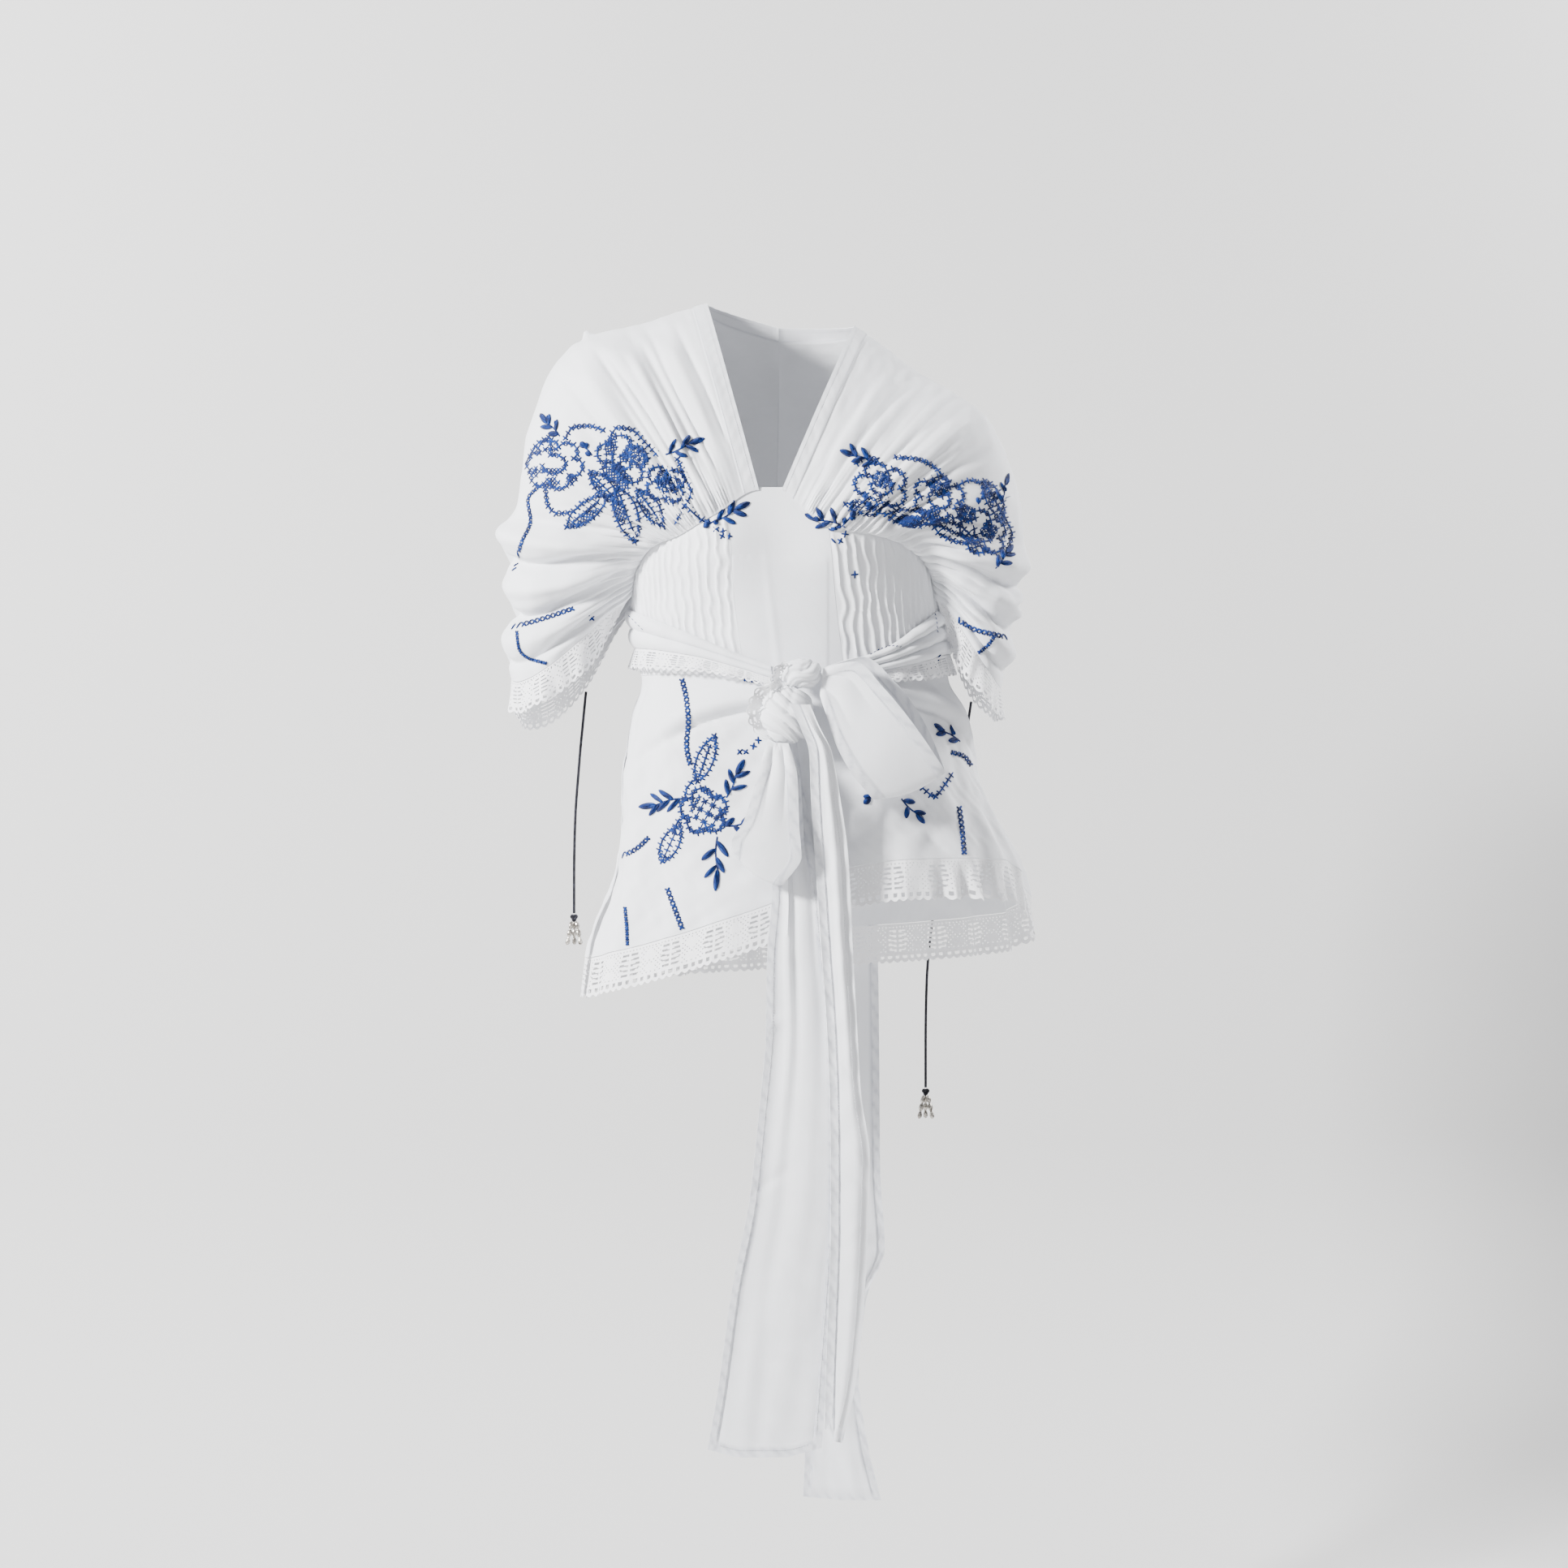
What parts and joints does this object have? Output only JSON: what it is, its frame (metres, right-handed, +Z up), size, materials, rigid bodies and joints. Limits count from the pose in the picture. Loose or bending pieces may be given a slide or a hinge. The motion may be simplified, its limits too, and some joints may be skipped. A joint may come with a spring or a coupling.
{
  "type": "blouse",
  "caption": "Short-sleeved wrap blouse of white linen with blue cross-stitch flowers, lace edges, tucked bust panels, a waist sash tied in a bow with long tails, and black cords.",
  "frame": {"origin": "midway between the two points where the blouse rests on the wearer's shoulders beside the neck", "axes": "+Z up along the wearer, -Y out of the wearer's front, -X to the wearer's right"},
  "size_m": [0.5571, 0.3259, 1.2746],
  "materials": {
    "linen": "white linen, plain weave, matt",
    "lawn": "white fine lawn, pin-tucked, matt",
    "lace": "white cotton bobbin lace, matt",
    "cord": "black braided cord, low sheen",
    "charm": "aged dark silver"
  },
  "bodies": {
    "root": {"cape_right": "linen", "cape_left": "linen", "bodice_centre": "linen", "bodice_back": "linen", "peplum_front": "linen", "peplum_back": "linen", "wrap_right": "linen", "wrap_left": "linen", "wrap_back": "linen", "knot_lower": "linen", "knot_upper": "linen", "bow_loop_right": "linen", "bow_loop_left": "linen", "tail_wide": "linen", "tail_narrow": "linen", "tail_back": "linen", "bodice_side_right": "lawn", "bodice_side_left": "lawn", "sleeve_lace_right": "lace", "sleeve_lace_left": "lace", "hem_lace_front": "lace", "hem_lace_back": "lace", "wrap_lace_right": "lace", "wrap_lace_left": "lace", "wrap_lace_back": "lace", "cord_right": "cord", "cord_left": "cord", "cord_knot_right": "cord", "cord_knot_left": "cord", "charm_right_1": "charm", "charm_right_2": "charm", "charm_right_3": "charm", "charm_left_1": "charm", "charm_left_2": "charm", "charm_left_3": "charm"}
  },
  "joints": []
}
